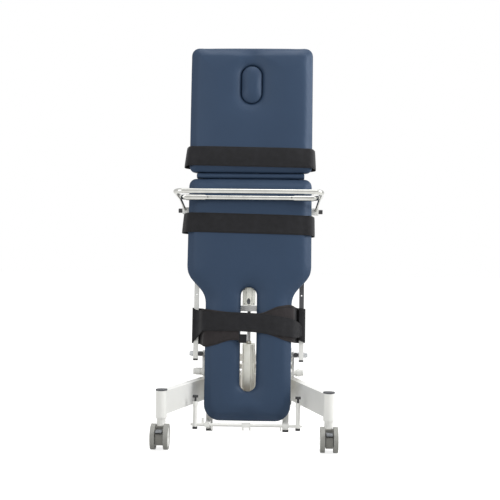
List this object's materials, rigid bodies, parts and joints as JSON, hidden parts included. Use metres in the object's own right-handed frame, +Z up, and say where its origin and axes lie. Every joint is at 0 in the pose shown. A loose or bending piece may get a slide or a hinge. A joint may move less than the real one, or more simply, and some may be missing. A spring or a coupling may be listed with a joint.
{
  "type": "physiotherapy tilt table",
  "caption": "Electric tilt table with padded two-section top, body and knee straps, handrail, parallel-arm lift and braked castors, shown upright.",
  "frame": {"origin": "on the floor, midway between the four castors, at the bottom centre of the bounding box", "axes": "X to the viewer's right facing the padded side, Y back from the padded side, Z up"},
  "size_m": [0.912, 1.516, 2.0811],
  "materials": {
    "white_steel": "satin powder coat",
    "vinyl_blue": "matte vinyl upholstery",
    "webbing_black": "woven webbing",
    "plywood": "birch ply",
    "chrome": "polished",
    "steel": "bright drawn",
    "housing_grey": "moulded",
    "grey_plastic": "moulded",
    "wheel_grey": "moulded tread",
    "black_plastic": "moulded"
  },
  "bodies": {
    "base": {"base_arm_left": "white_steel", "base_arm_right": "white_steel", "base_cross_beam": "white_steel", "base_rail_left": "white_steel", "base_rail_right": "white_steel", "base_rear_beam": "white_steel", "base_posts": "white_steel", "post_caps": "grey_plastic", "lift_brackets": "white_steel"},
    "front_lift_arms": {"front_lift_frame": "white_steel"},
    "rear_lift_arms": {"rear_lift_frame": "white_steel"},
    "carriage": {"carriage_plate_left": "white_steel", "carriage_plate_right": "white_steel", "carriage_ties": "white_steel", "lift_pins": "white_steel", "tilt_stubs": "steel", "tilt_hanger": "white_steel"},
    "lift_motor": {"lift_actuator_housing": "housing_grey"},
    "lift_rod": {"lift_actuator_rod": "steel"},
    "tilt_motor": {"tilt_actuator_housing": "housing_grey"},
    "tilt_rod": {"tilt_actuator_rod": "steel"},
    "table": {"frame_rail_left": "white_steel", "frame_rail_right": "white_steel", "frame_cross_members": "white_steel", "frame_spine": "white_steel", "strap_rail_left": "white_steel", "strap_rail_right": "white_steel", "strap_rail_caps": "black_plastic", "rail_knobs": "black_plastic", "main_board": "plywood", "main_pad": "vinyl_blue", "neck_bolster": "vinyl_blue", "waist_strap": "webbing_black", "knee_strap": "webbing_black"},
    "head": {"head_frame": "white_steel", "head_board": "plywood", "head_pad": "vinyl_blue", "chest_strap": "webbing_black"},
    "plug": {"face_plug": "vinyl_blue"},
    "head_strut_outer": {"head_strut_cylinder": "black_plastic"},
    "head_strut_inner": {"head_strut_rod": "steel"},
    "grab_rail": {"handrail": "chrome", "handrail_clamps": "white_steel"},
    "foot": {"foot_posts": "white_steel", "foot_post_caps": "black_plastic", "foot_rod": "white_steel"},
    "foot_tee_left": {"foot_tee_knob_left": "black_plastic"},
    "foot_tee_right": {"foot_tee_knob_right": "black_plastic"},
    "castor_front_left": {"castor_front_left_housing": "grey_plastic"},
    "wheels_front_left": {"castor_front_left_wheels": "wheel_grey"},
    "pedal_front_left": {"castor_front_left_pedal": "grey_plastic"},
    "castor_front_right": {"castor_front_right_housing": "grey_plastic"},
    "wheels_front_right": {"castor_front_right_wheels": "wheel_grey"},
    "pedal_front_right": {"castor_front_right_pedal": "grey_plastic"},
    "castor_rear_left": {"castor_rear_left_housing": "grey_plastic"},
    "wheels_rear_left": {"castor_rear_left_wheels": "wheel_grey"},
    "pedal_rear_left": {"castor_rear_left_pedal": "grey_plastic"},
    "castor_rear_right": {"castor_rear_right_housing": "grey_plastic"},
    "wheels_rear_right": {"castor_rear_right_wheels": "wheel_grey"},
    "pedal_rear_right": {"castor_rear_right_pedal": "grey_plastic"}
  },
  "joints": [
    {"name": "lift", "type": "hinge", "parent": "base", "child": "front_lift_arms", "pos_m": [0, 0.27444, 0.25463], "axis": [-1, 0, 0], "range_deg": [0, 42]},
    {"name": "rear_lift", "type": "hinge", "parent": "base", "child": "rear_lift_arms", "pos_m": [0, 0.53444, 0.25463], "axis": [-1, 0, 0], "range_deg": [0, 42]},
    {"name": "carriage_level", "type": "hinge", "parent": "front_lift_arms", "child": "carriage", "pos_m": [0, -0.2405, 0.327], "axis": [-1, 0, 0], "range_deg": [-42, 0]},
    {"name": "lift_motor_swing", "type": "hinge", "parent": "base", "child": "lift_motor", "pos_m": [0, 0.12701, 0.19205], "axis": [-1, 0, 0], "range_deg": [0, 21]},
    {"name": "lift_rod_swing", "type": "hinge", "parent": "front_lift_arms", "child": "lift_rod", "pos_m": [0, 0.17583, 0.38084], "axis": [-1, 0, 0], "range_deg": [-21, 0]},
    {"name": "tilt", "type": "hinge", "parent": "carriage", "child": "table", "pos_m": [0, -0.26, 0.424], "axis": [-1, 0, 0], "range_deg": [0, 85]},
    {"name": "tilt_motor_swing", "type": "hinge", "parent": "carriage", "child": "tilt_motor", "pos_m": [0, -0.20791, 0.12856], "axis": [-1, 0, 0], "range_deg": [0, 42.5]},
    {"name": "tilt_rod_swing", "type": "hinge", "parent": "table", "child": "tilt_rod", "pos_m": [0, -0.23385, 0.72286], "axis": [-1, 0, 0], "range_deg": [-42.5, 0]},
    {"name": "head_tilt", "type": "hinge", "parent": "table", "child": "head", "pos_m": [0, -0.17858, 1.37753], "axis": [-1, 0, 0], "range_deg": [0, 30]},
    {"name": "head_strut_swing", "type": "hinge", "parent": "table", "child": "head_strut_outer", "pos_m": [0, -0.13422, 1.1969], "axis": [-1, 0, 0], "range_deg": [0, 15]},
    {"name": "head_rod_swing", "type": "hinge", "parent": "head", "child": "head_strut_inner", "pos_m": [0, -0.10353, 1.54771], "axis": [-1, 0, 0], "range_deg": [-15, 0]},
    {"name": "face_plug_lift", "type": "slide", "parent": "head", "child": "plug", "axis": [0, -0.9962, 0.0872], "range_m": [0, 0.09]},
    {"name": "grab_rail_slide", "type": "slide", "parent": "table", "child": "grab_rail", "axis": [0, 0.0872, 0.9962], "range_m": [0, 0.115]},
    {"name": "foot_slide", "type": "slide", "parent": "table", "child": "foot", "axis": [0, -0.0872, -0.9962], "range_m": [0, 0.15]},
    {"name": "foot_tee_left_turn", "type": "hinge", "parent": "foot", "child": "foot_tee_left", "pos_m": [-0.266, -0.43061, 0.195], "axis": [0, 0.0872, 0.9962], "continuous": true},
    {"name": "foot_tee_right_turn", "type": "hinge", "parent": "foot", "child": "foot_tee_right", "pos_m": [0.266, -0.43061, 0.195], "axis": [0, 0.0872, 0.9962], "continuous": true},
    {"name": "castor_front_left_swivel", "type": "hinge", "parent": "base", "child": "castor_front_left", "pos_m": [-0.413, -0.65, 0.148], "axis": [0, 0, 1], "continuous": true},
    {"name": "castor_front_left_roll", "type": "hinge", "parent": "castor_front_left", "child": "wheels_front_left", "pos_m": [-0.413, -0.688, 0.0625], "axis": [1, 0, 0], "continuous": true},
    {"name": "castor_front_left_brake", "type": "hinge", "parent": "castor_front_left", "child": "pedal_front_left", "pos_m": [-0.413, -0.712, 0.0965], "axis": [1, 0, 0], "range_deg": [0, 12]},
    {"name": "castor_front_right_swivel", "type": "hinge", "parent": "base", "child": "castor_front_right", "pos_m": [0.413, -0.65, 0.148], "axis": [0, 0, 1], "continuous": true},
    {"name": "castor_front_right_roll", "type": "hinge", "parent": "castor_front_right", "child": "wheels_front_right", "pos_m": [0.413, -0.688, 0.0625], "axis": [1, 0, 0], "continuous": true},
    {"name": "castor_front_right_brake", "type": "hinge", "parent": "castor_front_right", "child": "pedal_front_right", "pos_m": [0.413, -0.712, 0.0965], "axis": [1, 0, 0], "range_deg": [0, 12]},
    {"name": "castor_rear_left_swivel", "type": "hinge", "parent": "base", "child": "castor_rear_left", "pos_m": [-0.203, 0.65, 0.148], "axis": [0, 0, 1], "continuous": true},
    {"name": "castor_rear_left_roll", "type": "hinge", "parent": "castor_rear_left", "child": "wheels_rear_left", "pos_m": [-0.203, 0.688, 0.0625], "axis": [1, 0, 0], "continuous": true},
    {"name": "castor_rear_left_brake", "type": "hinge", "parent": "castor_rear_left", "child": "pedal_rear_left", "pos_m": [-0.203, 0.712, 0.0965], "axis": [-1, 0, 0], "range_deg": [0, 12]},
    {"name": "castor_rear_right_swivel", "type": "hinge", "parent": "base", "child": "castor_rear_right", "pos_m": [0.203, 0.65, 0.148], "axis": [0, 0, 1], "continuous": true},
    {"name": "castor_rear_right_roll", "type": "hinge", "parent": "castor_rear_right", "child": "wheels_rear_right", "pos_m": [0.203, 0.688, 0.0625], "axis": [1, 0, 0], "continuous": true},
    {"name": "castor_rear_right_brake", "type": "hinge", "parent": "castor_rear_right", "child": "pedal_rear_right", "pos_m": [0.203, 0.712, 0.0965], "axis": [-1, 0, 0], "range_deg": [0, 12]}
  ],
  "couplings": [
    {"joint": "rear_lift", "follows": "lift", "ratio": 1},
    {"joint": "carriage_level", "follows": "lift", "ratio": -1},
    {"joint": "lift_motor_swing", "follows": "lift", "ratio": 0.5},
    {"joint": "lift_rod_swing", "follows": "lift", "ratio": -0.5},
    {"joint": "tilt_motor_swing", "follows": "tilt", "ratio": 0.5},
    {"joint": "tilt_rod_swing", "follows": "tilt", "ratio": -0.5},
    {"joint": "head_strut_swing", "follows": "head_tilt", "ratio": 0.5},
    {"joint": "head_rod_swing", "follows": "head_tilt", "ratio": -0.5}
  ]
}
